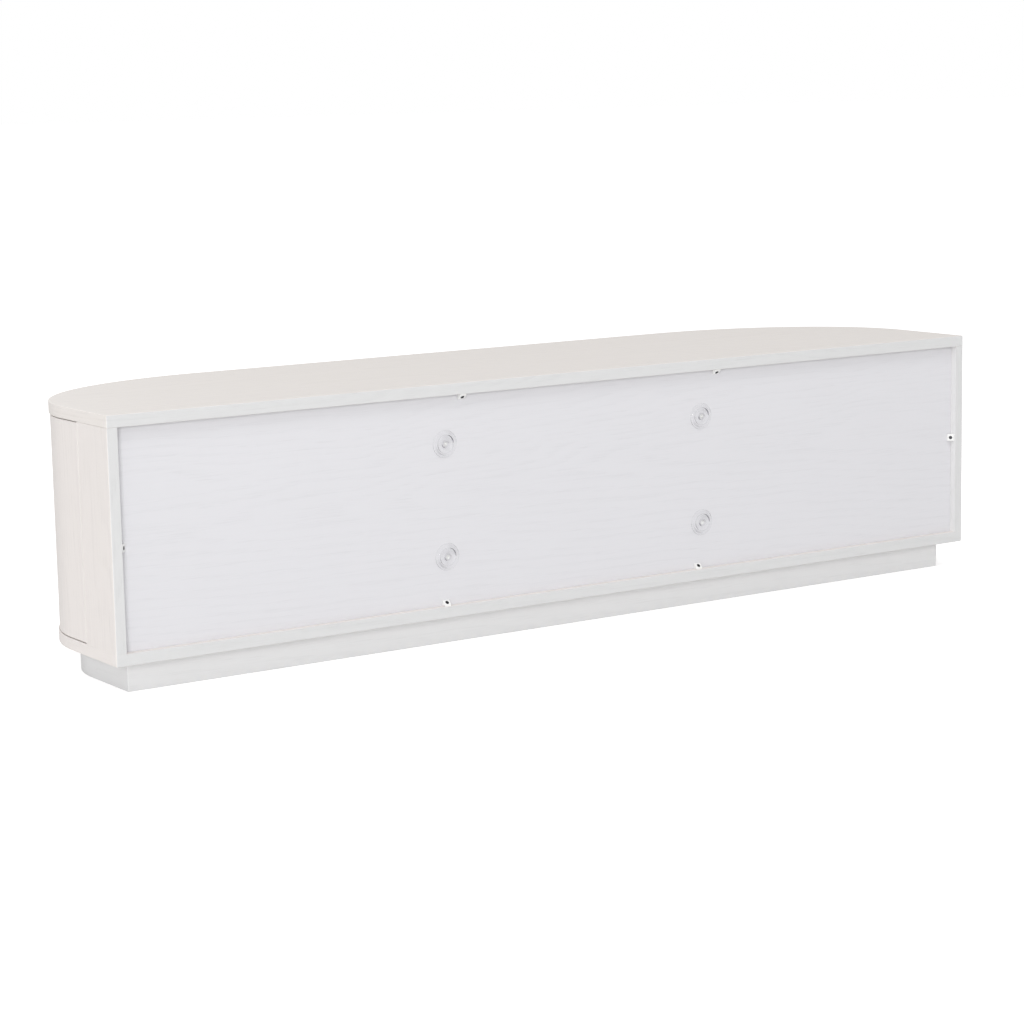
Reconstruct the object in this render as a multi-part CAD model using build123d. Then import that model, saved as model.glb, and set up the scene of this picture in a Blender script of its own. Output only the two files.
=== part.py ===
from build123d import *
import os

# Long low television cabinet: a D-shaped carcass with two rounded front corners on a set-back plinth.
# Two curved doors wrap round the corners and two flat doors close the middle.
# Frame: origin on the floor under the centre of the cabinet, +X along the length, -Y the front with
# the doors, +Y the back, +Z up. All sizes are in millimetres.

# ---------------------------------------------------------------- overall size
LENGTH = 1800
DEPTH = 460
HEIGHT = 450
PLINTH_HEIGHT = 50
CORNER_LONG = 390  # half-axis of the elliptical front corners, along the length
CORNER_DEEP = 290  # the same, along the depth

# ---------------------------------------------------------------- boards
DECK = 20  # top and bottom panels
BOARD = 18  # sides, dividers, doors and shelves
RAIL = 16  # plinth boards
BACK_THICK = 5
BACK_RECESS = 13  # from the back edges to the outer face of the back panel
GROOVE_DEPTH = 6
SIDE_DEPTH = 110
DIVIDER_X = 273
PLINTH_SETBACK = 34
BACK_CORNER = 2  # rounding of the two upright corners at the back
ARRIS = 1.5  # rounding of the top's upper edge and the bottom's lower edge
SOFT_ARRIS = 1  # lighter rounding of other edges that show
JOINT_ARRIS = 0.4  # barely broken edge where the sides stand flush on the bottom
PLAY = 0.1  # clearance round let-in fittings
GROOVE_PLAY = 2  # free width behind the back panel in the top's groove, where the panel is put in
SIDE_GROOVE_PLAY = 0.3  # the same in the grooves of the sides and of the bottom
GROOVE_SHY = 0.5  # how far the back panel stops short of each groove's floor

# ---------------------------------------------------------------- doors
DOOR_SETBACK = 10  # the door faces stand this far behind the top's front edge
DOOR_END_SETBACK = 1  # the same at the cabinet's ends, nearly flush with the side panels
GAP = 3  # between two doors and between a door and a side panel
LEVEL_GAP = 1.6  # above and below the doors
DOOR_ARRIS = 0.6
DIVIDER_BEHIND_DOOR = 4
HINGE_ROUND = 2  # rounding of a door's outer edge at its hinge

# ---------------------------------------------------------------- pivot hinges
PIVOT_FROM_EDGE = 8  # from the door's hinge edge to the pin's axis
PIVOT_FROM_FACE = 6  # from the door's outer face to the pin's axis
PIN_RADIUS = 2
PIN_RUNNING = 0.05
PIN_DEPTH = 4  # how far the pin goes past the door's leaf
LEAF_THICK = 2.5
LEAF_RADIUS = 4
LEAF_REACH = 52  # from the pin's axis to the centre of the leaf's far end
LEAF_SCREWS_AT = (18, 42)
WASHER_RADIUS = 4.5
WASHER_THICK = 1.5
WASHER_PLAY = 0.02  # round the pin
PIN_HOLE_PLAY = 0.5  # round the pin's end in the door

# ---------------------------------------------------------------- shelves
SHELF_Z = 250  # middle of the shelf's thickness
SHELF_BEHIND_DOOR = 15
SHELF_PLAY = 0.5
PEG_RADIUS = 2.5
PEG_HOLE = 8
PEG_OUT = 8
PEG_PITCH = 32
PEG_COLLAR = (3.5, 1.2)  # radius and thickness
PEG_ROWS = (-2, -1, 0, 1, 2)
DIVIDER_PEGS_Y = (-150, 160)
SIDE_PEGS_Y = (140, 192)
SHELF_TONGUE = 60  # length of the curved shelves' part that runs behind the side panel

# ---------------------------------------------------------------- panel joints
CAM_RADIUS = 7.5
CAM_DEPTH = 12.5
CAM_FROM_EDGE = 34
BOLT_RADIUS = 3
BOLT_HEAD_RADIUS = 3.6
BOLT_THREAD_RADIUS = 2.5
BOLT_THREAD = 11
BOLT_NECK_RADIUS = 2
BOLT_NECK = 9  # from the middle of the head to the full shank
BOLT_HEAD = (3, 4)  # its start below the cam's axis and its length
CAM_MOUTH = (4.5, 4, 4.5, 5, 3)  # hollow: to the inside, to the outside, half width, below and above
CAM_MOUTH_PLAY = 0.3
CROSS = (7, 1.8, 3)  # length, width and depth of the cross recess, the depth measured through the face
DOWEL_RADIUS = 4
DOWEL_HALF = 15
DOWEL_BEVEL = 1
DIVIDER_BOLTS_Y = (-140, 120)
DIVIDER_DOWELS_Y = (-100, 80)
SIDE_BOLTS_Y = (165,)
SIDE_DOWELS_Y = (137, 192)

# ---------------------------------------------------------------- back panel fixings
DISC_LOW = 153.5
DISC_HIGH = 347
DISC_RADIUS = 23.5
DISC_THICK = 1.4
DISC_RING = (15.6, 17.8)  # inner and outer radius of the raised ring
DISC_RING_HIGH = 5
DISC_BOSS_RADIUS = 6.5
DISC_BOSS_HIGH = 3
DISC_ROUND = 0.6
CLIP_LEG = 9.5
CLIP_LIP = 2.6
CLIP_ROUND = 0.9
CLIP_WIDTH = 13
TOP_CLIPS_X = (239, -306)
BOTTOM_CLIPS_X = (279, -261)
LEFT_CLIP_Z = 254
RIGHT_CLIP_Z = 238

# ---------------------------------------------------------------- push latches
LATCH_Z = 418
CENTRE_LATCH_X = 24
CORNER_LATCH_X = 480
LATCH_FRONT = -190
LATCH_BACK = -120
LATCH_WIDTH = 18
LATCH_DROP = 21
LATCH_EAR = 11  # how far a screw ear stands out
LATCH_EAR_THICK = 3.5
LATCH_EAR_Y = (-165, -145)
LATCH_ROUND = 4
BORE_RADIUS = 4.08
BORE_END = -132
PLUNGER_RADIUS = 4
PLUNGER_BACK = -150
PLUNGER_BEVEL = 0.8
PLUNGER_GROOVE = (4, 1, 0.5)  # distance behind the tip, width and depth
SPRING_WIRE = 0.5  # radius of the wire
SPRING_RADIUS = 3
SPRING_TURNS = 6
STRIKE_RADIUS = 8
STRIKE_THICK = 1
STRIKE_BEVEL = 0.4
TIP_CLEARANCE = 0.4

# ---------------------------------------------------------------- plinth inside
BLOCK_SIZE = 26
BLOCK_HALF_LONG = 20
BLOCK_PLACES = ((640, 1), (100, 1), (380, -1), (100, -1))  # x, and 1 at the back rail or -1 at the front
CROSS_RAILS_X = (-DIVIDER_X, 0, DIVIDER_X)

# ---------------------------------------------------------------- screws: shank radius, head radius, length
LEAF_SCREW = (1.4, 3.0, 16)
DISC_SCREW = (2.0, 4.0, 32)
CLIP_SCREW = (1.5, 3.3, 20)
BLOCK_SCREW = (2.0, 4.0, 40)
CONFIRMAT = (3.5, 5.0, 50)

# ---------------------------------------------------------------- levels and planes
HALF_LENGTH = LENGTH / 2
BACK_Y = DEPTH / 2
FRONT_Y = -DEPTH / 2
FLOOR_TOP = PLINTH_HEIGHT + DECK  # upper face of the bottom panel
CEILING = HEIGHT - DECK  # lower face of the top panel
SIDE_INNER = HALF_LENGTH - BOARD
SIDE_FRONT = BACK_Y - SIDE_DEPTH
BACK_OUTER = BACK_Y - BACK_RECESS
BACK_INNER = BACK_OUTER - BACK_THICK
DOOR_OUTER = FRONT_Y + DOOR_SETBACK
DOOR_INNER = DOOR_OUTER + BOARD
DOOR_LOW = FLOOR_TOP + LEVEL_GAP
DOOR_HIGH = CEILING - LEVEL_GAP
DIVIDER_FRONT = DOOR_INNER + DIVIDER_BEHIND_DOOR
DIVIDER_NEAR = DIVIDER_X - BOARD / 2
DIVIDER_FAR = DIVIDER_X + BOARD / 2
DOOR_SPLIT = DIVIDER_X + GAP / 2  # hinge edge of a curved door
CENTRE_SPLIT = DIVIDER_X - GAP / 2  # hinge edge of a flat door
CORNER_PIVOT_X = DOOR_SPLIT + PIVOT_FROM_EDGE
CENTRE_PIVOT_X = CENTRE_SPLIT - PIVOT_FROM_EDGE
PIVOT_Y = DOOR_OUTER + PIVOT_FROM_FACE
STRIKE_FACE = DOOR_INNER + STRIKE_THICK
RAIL_OUTER_BACK = BACK_Y - PLINTH_SETBACK
RAIL_OUTER_FRONT = FRONT_Y + PLINTH_SETBACK
RAIL_SPLIT = HALF_LENGTH - CORNER_LONG  # where the front rail meets the bent ends
UP = (0, 0, 1)
DOWN = (0, 0, -1)
FORWARD = (0, -1, 0)


# ---------------------------------------------------------------- basic solids
def block(x_range, y_range, z_range):
    """A box between two values on each axis."""
    spans = [sorted(r) for r in (x_range, y_range, z_range)]
    middle = [(low + high) / 2 for low, high in spans]
    size = [high - low for low, high in spans]
    return Pos(*middle) * Box(*size)


def rod(start, direction, radius, length):
    """A cylinder from a point along a direction."""
    ends = (Align.CENTER, Align.CENTER, Align.MIN)
    return Plane(origin=start, z_dir=direction) * Cylinder(radius, length, align=ends)


def slab(end_inset, inset, z_low, z_high):
    """The D-shaped plan, drawn in at its ends and at its front and back, as a solid between two levels."""
    side = HALF_LENGTH - end_inset
    front = FRONT_Y + inset
    back = BACK_Y - inset
    centre_x = HALF_LENGTH - CORNER_LONG
    centre_y = FRONT_Y + CORNER_DEEP
    radii = (CORNER_LONG - end_inset, CORNER_DEEP - inset)
    edges = [
        Line((-side, back), (-side, centre_y)),
        EllipticalCenterArc((-centre_x, centre_y), *radii, start_angle=180, arc_size=90),
        Line((-centre_x, front), (centre_x, front)),
        EllipticalCenterArc((centre_x, centre_y), *radii, start_angle=270, arc_size=90),
        Line((side, centre_y), (side, back)),
        Line((side, back), (-side, back)),
    ]
    return Pos(0, 0, z_low) * extrude(make_face(Wire(edges)), z_high - z_low)


def left_of(solid):
    """The mirror image on the cabinet's left."""
    return mirror(solid, about=Plane.YZ)


def both(solids):
    """The solids with their mirror images."""
    return list(solids) + [left_of(s) for s in solids]


def screw(spec, start, direction):
    """A countersunk screw, flush at its start, with a cross recess and a point."""
    head = spec[1]
    body = screw_envelope(spec, start, direction, 0)
    seat = Plane(origin=start, z_dir=direction)
    for width, depth in ((head * 1.1, head * 0.28), (head * 0.28, head * 1.1)):
        body -= seat * Box(width, depth, head * 0.6)
    return body


def screw_envelope(spec, start, direction, grow):
    """The screw's outside, grown all round, to cut its hole."""
    shank, head, length = spec
    seat = Plane(origin=start, z_dir=direction)
    base = (Align.CENTER, Align.CENTER, Align.MIN)
    cone_height = head - shank
    point = shank * 2
    body = seat * Cone(head + grow, shank + grow, cone_height, align=base)
    body += seat * Pos(0, 0, cone_height) * Cylinder(shank + grow, length - cone_height - point, align=base)
    tip = Cone(shank + grow, shank * 0.2 + grow, point + grow, align=base)
    return body + seat * Pos(0, 0, length - point) * tip


def slot(x_start, x_end, y, z_range, radius):
    """A plate with round ends along X."""
    low, high = sorted(z_range)
    outline = SlotCenterToCenter(abs(x_end - x_start), 2 * radius)
    return Pos((x_start + x_end) / 2, y, low) * extrude(outline, high - low)


# ---------------------------------------------------------------- places that panels share
def top_bolts():
    """Centres of the cam bolts under the top: panel, x, y and the side that the cam is put in from."""
    places = [(DIVIDER_X, y, 1) for y in DIVIDER_BOLTS_Y]
    return places + [(HALF_LENGTH - BOARD / 2, y, -1) for y in SIDE_BOLTS_Y]


def dowel_places():
    places = [(DIVIDER_X, y) for y in DIVIDER_DOWELS_Y]
    return places + [(HALF_LENGTH - BOARD / 2, y) for y in SIDE_DOWELS_Y]


def confirmat_places():
    return [(x, y) for x, y, _ in top_bolts()]


def cam_bolt(x, y, grow=0):
    """Thread in the top, shank down the panel's edge and a head inside the cam."""
    head_z = CEILING - CAM_FROM_EDGE
    body = rod((x, y, CEILING), UP, BOLT_THREAD_RADIUS + grow, BOLT_THREAD + grow)
    body += rod((x, y, head_z), UP, BOLT_NECK_RADIUS + grow, CAM_FROM_EDGE)
    body += rod((x, y, head_z + BOLT_NECK), UP, BOLT_RADIUS + grow, CAM_FROM_EDGE - BOLT_NECK)
    below, length = BOLT_HEAD
    return body + rod((x, y, head_z - below - grow), UP, BOLT_HEAD_RADIUS + grow, length + 2 * grow)


def cam(x, y, side):
    """A cam drum let in from one face, hollow for the bolt's head, with a cross recess."""
    face_x = x + side * BOARD / 2
    centre = (face_x, y, CEILING - CAM_FROM_EDGE)
    body = rod(centre, (-side, 0, 0), CAM_RADIUS, CAM_DEPTH)
    inside, outside, half, below, above = CAM_MOUTH
    body -= block((x - inside, x + outside), (y - half, y + half), (centre[2] - below, centre[2] + above))
    body -= rod((x, y, centre[2]), UP, BOLT_RADIUS + CAM_MOUTH_PLAY, CAM_RADIUS + 1)
    long, narrow, deep = CROSS
    for wide, tall in ((long, narrow), (narrow, long)):
        body -= Pos(*centre) * Box(deep, wide, tall)
    return body


def cam_pocket(x, y, side):
    centre = (x + side * BOARD / 2, y, CEILING - CAM_FROM_EDGE)
    return rod(centre, (-side, 0, 0), CAM_RADIUS + PLAY, CAM_DEPTH + PLAY)


def dowel(x, y, z, grow=0):
    """A wooden dowel with bevelled ends, half in each panel."""
    pin = rod((x, y, z - DOWEL_HALF - grow), UP, DOWEL_RADIUS + grow, 2 * (DOWEL_HALF + grow))
    return pin if grow else chamfer(pin.edges().filter_by(GeomType.CIRCLE), DOWEL_BEVEL)


def peg_spots(z):
    """Each peg of the right and centre compartments: its mouth on a panel and its way out."""
    spots = []
    for y in DIVIDER_PEGS_Y:
        spots.append(((DIVIDER_FAR, y, z), 1))
        spots.append(((DIVIDER_NEAR, y, z), -1))
    for y in SIDE_PEGS_Y:
        spots.append(((SIDE_INNER, y, z), -1))
    return spots


def peg_holes():
    """The rows of holes that let a shelf be moved up or down."""
    shelf_under = SHELF_Z - BOARD / 2
    holes = []
    for row in PEG_ROWS:
        for mouth, out in peg_spots(shelf_under - PEG_RADIUS + row * PEG_PITCH):
            holes.append(rod(mouth, (-out, 0, 0), PEG_RADIUS + PLAY / 2, PEG_HOLE + PLAY))
    return holes


def shelf_peg(mouth, out):
    """A steel peg with a collar against the panel."""
    peg = rod(mouth, (-out, 0, 0), PEG_RADIUS, PEG_HOLE) + rod(mouth, (out, 0, 0), PEG_RADIUS, PEG_OUT)
    collar_radius, collar_thick = PEG_COLLAR
    collar = rod(mouth, (out, 0, 0), collar_radius, collar_thick)
    x, y, z = mouth
    level = (x - PEG_OUT, x + PEG_OUT), (y - collar_radius, y + collar_radius)
    above_shelf = block(*level, (z + PEG_RADIUS, z + 2 * collar_radius))
    return peg + collar - above_shelf


# ---------------------------------------------------------------- hinges
HINGES = (
    ("corner", CORNER_PIVOT_X, 1),
    ("centre", CENTRE_PIVOT_X, -1),
)


def leaf_plate(pivot_x, way, z_range, grow=0):
    """The outline of a hinge leaf, from its pin along the door."""
    far = pivot_x + way * LEAF_REACH
    return slot(pivot_x, far, PIVOT_Y, z_range, LEAF_RADIUS + grow)


def leaf_screws(pivot_x, way, z, direction, make):
    """The two screws of one leaf, driven from its face."""
    return [make(LEAF_SCREW, (pivot_x + way * at, PIVOT_Y, z), direction) for at in LEAF_SCREWS_AT]


def hole_for(spec, start, direction):
    return screw_envelope(spec, start, direction, PLAY)


def leaf(pivot_x, way, z_face, direction, pin_hole):
    """A leaf whose visible face is at z_face and which is let in along a direction."""
    z_range = (z_face, z_face + direction[2] * LEAF_THICK)
    plate = leaf_plate(pivot_x, way, z_range)
    plate -= rod((pivot_x, PIVOT_Y, z_face - direction[2]), direction, pin_hole, LEAF_THICK + 2)
    for cutter in leaf_screws(pivot_x, way, z_face, direction, hole_for):
        plate -= cutter
    return plate


def leaf_pocket(pivot_x, way, z_face, direction):
    """The mortise for a leaf with its screw holes."""
    deep = z_face + direction[2] * (LEAF_THICK + PLAY / 2)
    pocket = [leaf_plate(pivot_x, way, (z_face - direction[2], deep), PLAY)]
    return pocket + leaf_screws(pivot_x, way, z_face, direction, hole_for)


def carcass_ends():
    """Face of the carcass leaf and the way it is let in, at the top and at the bottom."""
    return ((CEILING, UP), (FLOOR_TOP, DOWN))


def door_ends():
    return ((DOOR_HIGH, DOWN), (DOOR_LOW, UP))


def hinge_pin(pivot_x, z_face, direction):
    """From the back of the carcass leaf through the washer and the door's leaf."""
    start = z_face + direction[2] * LEAF_THICK
    length = LEAF_THICK + LEVEL_GAP + LEAF_THICK + PIN_DEPTH
    into_door = (0, 0, -direction[2])
    return rod((pivot_x, PIVOT_Y, start), into_door, PIN_RADIUS, length)


def hinge_washer(pivot_x, z_face, direction):
    into_door = (0, 0, -direction[2])
    ring = rod((pivot_x, PIVOT_Y, z_face), into_door, WASHER_RADIUS, WASHER_THICK)
    return ring - rod((pivot_x, PIVOT_Y, z_face + direction[2]), into_door, PIN_RADIUS + WASHER_PLAY, GAP + 2)


# ---------------------------------------------------------------- push latches
def latch_housing(x):
    """A block under the top with a blind bore for its plunger and two screw ears."""
    y_range = (LATCH_FRONT, LATCH_BACK)
    half = LATCH_WIDTH / 2
    body = block((x - half, x + half), y_range, (CEILING - LATCH_DROP, CEILING))
    body = fillet(body.edges().filter_by(Axis.Y).sort_by(Axis.Z)[:2], LATCH_ROUND)
    reach = half + LATCH_EAR
    body += block((x - reach, x + reach), LATCH_EAR_Y, (CEILING - LATCH_EAR_THICK, CEILING))
    body -= rod((x, BORE_END, LATCH_Z), FORWARD, BORE_RADIUS, abs(BORE_END - LATCH_FRONT) + 1)
    for start in latch_screw_starts(x):
        body -= hole_for(LEAF_SCREW, start, UP)
    return body


def latch_screw_starts(x):
    offset = LATCH_WIDTH / 2 + LATCH_EAR / 2
    middle = sum(LATCH_EAR_Y) / 2
    return [(x + side * offset, middle, CEILING - LATCH_EAR_THICK) for side in (-1, 1)]


def plunger(x):
    """A round rod with a bevelled tip and a collar groove."""
    tip = STRIKE_FACE + TIP_CLEARANCE
    body = rod((x, PLUNGER_BACK, LATCH_Z), FORWARD, PLUNGER_RADIUS, PLUNGER_BACK - tip)
    body = chamfer(body.edges().filter_by(GeomType.CIRCLE), PLUNGER_BEVEL)
    behind, wide, deep = PLUNGER_GROOVE
    groove = rod((x, tip + behind, LATCH_Z), FORWARD, PLUNGER_RADIUS + 1, wide)
    return body - (groove - rod((x, tip + behind + wide, LATCH_Z), FORWARD, PLUNGER_RADIUS - deep, 3 * wide))


def spring(x):
    """A coil spring between the bore's end and the plunger's back."""
    length = BORE_END - PLUNGER_BACK - 2 * SPRING_WIRE
    path = Helix(pitch=length / SPRING_TURNS, height=length, radius=SPRING_RADIUS)
    coil = sweep(Plane(origin=path @ 0, z_dir=path % 0) * Circle(SPRING_WIRE), path, is_frenet=True)
    return Pos(x, BORE_END - SPRING_WIRE, LATCH_Z) * Rot(90, 0, 0) * coil


def strike_plate(x):
    """A thin steel disc on the door where the plunger's tip meets it."""
    disc = rod((x, STRIKE_FACE, LATCH_Z), FORWARD, STRIKE_RADIUS, STRIKE_THICK)
    rim = disc.edges().filter_by(GeomType.CIRCLE).sort_by(Axis.Y)[-1]
    return chamfer(rim, STRIKE_BEVEL) - hole_for(LEAF_SCREW, (x, STRIKE_FACE, LATCH_Z), FORWARD)


# ---------------------------------------------------------------- doors
def door_cutters(pivot_x, way, latch_x):
    """Everything let into a door: leaves, pin ends and screws."""
    cutters = []
    for z_face, direction in door_ends():
        cutters += leaf_pocket(pivot_x, way, z_face, direction)
        pin_bottom = (pivot_x, PIVOT_Y, z_face)
        cutters.append(rod(pin_bottom, direction, PIN_RADIUS + PIN_HOLE_PLAY, LEAF_THICK + PIN_DEPTH + 1))
    return cutters + [hole_for(LEAF_SCREW, (latch_x, STRIKE_FACE, LATCH_Z), FORWARD)]


def round_door(panel, hinge_edge_x, free_edge):
    """Round the uprights, with a larger round at the hinge edge, and then the upper and lower edges."""
    uprights = panel.edges().filter_by(Axis.Z)
    hinge_arris = uprights.filter_by_position(Axis.X, hinge_edge_x - 0.01, hinge_edge_x + 0.01)
    panel = fillet(hinge_arris.sort_by(Axis.Y)[0], HINGE_ROUND)
    panel = fillet(panel.edges().filter_by(Axis.Z).filter_by_position(*free_edge), SOFT_ARRIS)
    ends = panel.faces().sort_by(Axis.Z)
    return fillet(ends[0].edges() + ends[-1].edges(), DOOR_ARRIS)


def corner_door_panel():
    """The right curved door: straight along the front, round the corner and back along the end."""
    shell = slab(DOOR_END_SETBACK, DOOR_SETBACK, DOOR_LOW, DOOR_HIGH)
    shell -= slab(DOOR_END_SETBACK + BOARD, DOOR_SETBACK + BOARD, DOOR_LOW - 1, DOOR_HIGH + 1)
    keep = block((DOOR_SPLIT, HALF_LENGTH), (FRONT_Y, SIDE_FRONT - GAP), (DOOR_LOW, DOOR_HIGH))
    tail = (Axis.Y, SIDE_FRONT - GAP - 1, SIDE_FRONT)
    panel = round_door(shell & keep, DOOR_SPLIT, tail)
    return panel - door_cutters(CORNER_PIVOT_X, 1, CORNER_LATCH_X)


def centre_door_panel():
    """The right flat door."""
    panel = block((GAP / 2, CENTRE_SPLIT), (DOOR_OUTER, DOOR_INNER), (DOOR_LOW, DOOR_HIGH))
    panel = round_door(panel, CENTRE_SPLIT, (Axis.X, 0, GAP))
    return panel - door_cutters(CENTRE_PIVOT_X, -1, CENTRE_LATCH_X)


def door_parts(name, panel, pivot_x, way, latch_x):
    """The nodes of one right-hand door, by name."""
    leaves = [leaf(pivot_x, way, z, direction, PIN_RADIUS + PIN_RUNNING) for z, direction in door_ends()]
    screws = [screw(LEAF_SCREW, (latch_x, STRIKE_FACE, LATCH_Z), FORWARD)]
    for z_face, direction in door_ends():
        screws += leaf_screws(pivot_x, way, z_face, direction, screw)
    return {
        f"{name}_panel": [panel],
        f"{name}_hinge_leaves": leaves,
        f"{name}_strike_plate": [strike_plate(latch_x)],
        f"{name}_screws": screws,
    }


# ---------------------------------------------------------------- carcass panels
def deck(z_low, z_high):
    """A top or bottom board with its back corners rounded."""
    panel = slab(0, 0, z_low, z_high)
    return fillet(panel.edges().filter_by(Axis.Z).sort_by(Axis.Y)[-2:], BACK_CORNER)


def top_panel():
    panel = deck(CEILING, HEIGHT)
    panel = fillet(panel.edges().filter_by_position(Axis.Z, CEILING - 1, CEILING + 1), SOFT_ARRIS)
    panel = fillet(panel.edges().filter_by_position(Axis.Z, HEIGHT - 0.1, HEIGHT + 1), ARRIS)
    cutters = [cam_bolt(x, y, PLAY) for x, y, _ in top_bolts()]
    cutters += [dowel(x, y, CEILING, PLAY) for x, y in dowel_places()]
    for _, pivot_x, way in HINGES:
        cutters += leaf_pocket(pivot_x, way, CEILING, UP)
    for x in (CENTRE_LATCH_X, CORNER_LATCH_X):
        cutters += [hole_for(LEAF_SCREW, start, UP) for start in latch_screw_starts(x)]
    cutters = both(cutters) + [back_groove(CEILING - 1, CEILING + GROOVE_DEPTH, GROOVE_PLAY)]
    return panel - cutters - clip_screw_holes()


def bottom_panel():
    panel = deck(PLINTH_HEIGHT, FLOOR_TOP)
    panel = fillet(panel.edges().filter_by_position(Axis.Z, FLOOR_TOP - 0.1, FLOOR_TOP + 1), JOINT_ARRIS)
    panel = fillet(panel.edges().filter_by_position(Axis.Z, PLINTH_HEIGHT - 1, PLINTH_HEIGHT + 0.1), ARRIS)
    cutters = [hole_for(CONFIRMAT, (x, y, PLINTH_HEIGHT), UP) for x, y in confirmat_places()]
    cutters += [dowel(x, y, FLOOR_TOP, PLAY) for x, y in dowel_places()]
    for _, pivot_x, way in HINGES:
        cutters += leaf_pocket(pivot_x, way, FLOOR_TOP, DOWN)
    cutters += [hole_for(BLOCK_SCREW, start, UP) for start in block_screw_starts()]
    cutters = both(cutters) + [back_groove(FLOOR_TOP + 1, FLOOR_TOP - GROOVE_DEPTH, SIDE_GROOVE_PLAY)]
    return panel - cutters - clip_screw_holes()


def back_groove(z_from, z_to, play):
    """The groove that holds an edge of the back panel, with free width behind the panel."""
    half = SIDE_INNER + GROOVE_DEPTH
    return block((-half, half), (BACK_INNER - PLAY / 2, BACK_OUTER + play), (z_from, z_to))


def upright_cutters():
    """Holes for the pegs, bolts, cams, dowels and long screws in a side or a divider."""
    cutters = peg_holes()
    cutters += [cam_bolt(x, y, PLAY) for x, y, _ in top_bolts()]
    cutters += [cam_pocket(x, y, side) for x, y, side in top_bolts()]
    cutters += [dowel(x, y, z, PLAY) for x, y in dowel_places() for z in (CEILING, FLOOR_TOP)]
    return cutters + [hole_for(CONFIRMAT, (x, y, PLINTH_HEIGHT), UP) for x, y in confirmat_places()]


def round_outer_upright(panel, y, radius):
    """Round the upright edge at the cabinet's end and at one depth."""
    uprights = panel.edges().filter_by(Axis.Z).filter_by_position(Axis.Y, y - 0.1, y + 0.1)
    return fillet(uprights.sort_by(Axis.X)[-1], radius)


def side_blank():
    """The right side panel with its joints, before the clip's screw hole."""
    panel = block((SIDE_INNER, HALF_LENGTH), (SIDE_FRONT, BACK_Y), (FLOOR_TOP, CEILING))
    panel = round_outer_upright(panel, SIDE_FRONT, JOINT_ARRIS)
    panel = round_outer_upright(panel, BACK_Y, BACK_CORNER)
    return panel - upright_cutters() - back_groove(FLOOR_TOP, CEILING, SIDE_GROOVE_PLAY)


def divider():
    panel = block((DIVIDER_NEAR, DIVIDER_FAR), (DIVIDER_FRONT, BACK_INNER), (FLOOR_TOP, CEILING))
    front = panel.edges().filter_by(Axis.Z).sort_by(Axis.Y)[:2]
    panel = fillet(front, SOFT_ARRIS)
    return panel - upright_cutters() - [disc_screw_hole(z) for z in (DISC_LOW, DISC_HIGH)]


def back_panel():
    into_groove = GROOVE_DEPTH - GROOVE_SHY
    half = SIDE_INNER + into_groove
    z_range = (FLOOR_TOP - into_groove, CEILING + into_groove)
    panel = block((-half, half), (BACK_INNER, BACK_OUTER), z_range)
    return panel - both([disc_screw_hole(z) for z in (DISC_LOW, DISC_HIGH)]) - clip_screw_holes()


def shelf_range():
    return (SHELF_Z - BOARD / 2, SHELF_Z + BOARD / 2)


def centre_shelf():
    half = DIVIDER_NEAR - SHELF_PLAY
    front = DOOR_INNER + SHELF_BEHIND_DOOR
    panel = block((-half, half), (front, BACK_INNER - SHELF_PLAY), shelf_range())
    return fillet(panel.edges().filter_by(Axis.X).sort_by(Axis.Y)[:2], ARRIS)


def corner_shelf():
    """The right shelf, with its front edge curved to follow the door."""
    z_low, z_high = shelf_range()
    behind = BOARD + SHELF_BEHIND_DOOR
    back = BACK_INNER - SHELF_PLAY
    keep = block((DIVIDER_FAR + SHELF_PLAY, HALF_LENGTH), (FRONT_Y, back), (z_low, z_high))
    panel = slab(DOOR_END_SETBACK + behind, DOOR_SETBACK + behind, z_low, z_high) & keep
    x_range = (SIDE_INNER - SHELF_TONGUE, SIDE_INNER - SHELF_PLAY)
    return panel + block(x_range, (SIDE_FRONT + 1, back), (z_low, z_high))


# ---------------------------------------------------------------- back panel fixings
def disc_screw_hole(z):
    return hole_for(DISC_SCREW, (DIVIDER_X, BACK_OUTER + DISC_BOSS_HIGH, z), FORWARD)


def washer_disc(z):
    """A clear cup washer: thin flange, raised ring and a boss for the screw."""
    centre = (DIVIDER_X, BACK_OUTER, z)
    backward = (0, 1, 0)
    ring_bottom = (DIVIDER_X, BACK_OUTER + DISC_THICK, z)
    disc = rod(centre, backward, DISC_RADIUS, DISC_THICK)
    disc = fillet(disc.edges().filter_by(GeomType.CIRCLE).sort_by(Axis.Y)[-1], DISC_ROUND)
    inner, outer = DISC_RING
    ring = rod(centre, backward, outer, DISC_RING_HIGH) - rod(ring_bottom, backward, inner, DISC_RING_HIGH)
    ring = fillet(ring.edges().filter_by(GeomType.CIRCLE).sort_by(Axis.Y)[-2:], DISC_ROUND)
    boss = rod(centre, backward, DISC_BOSS_RADIUS, DISC_BOSS_HIGH)
    boss = fillet(boss.edges().filter_by(GeomType.CIRCLE).sort_by(Axis.Y)[-1], DISC_ROUND)
    return disc + ring + boss - disc_screw_hole(z)


def clip_frames():
    """A frame for each clip: its X runs along the corner, its Y backward, its Z away from the panel."""
    frames = [Plane((x, BACK_OUTER, CEILING), x_dir=(-1, 0, 0), z_dir=DOWN) for x in TOP_CLIPS_X]
    frames += [Plane((x, BACK_OUTER, FLOOR_TOP), x_dir=(1, 0, 0), z_dir=UP) for x in BOTTOM_CLIPS_X]
    frames.append(Plane((SIDE_INNER, BACK_OUTER, RIGHT_CLIP_Z), x_dir=UP, z_dir=(-1, 0, 0)))
    frames.append(Plane((-SIDE_INNER, BACK_OUTER, LEFT_CLIP_Z), x_dir=DOWN, z_dir=(1, 0, 0)))
    return frames


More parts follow.
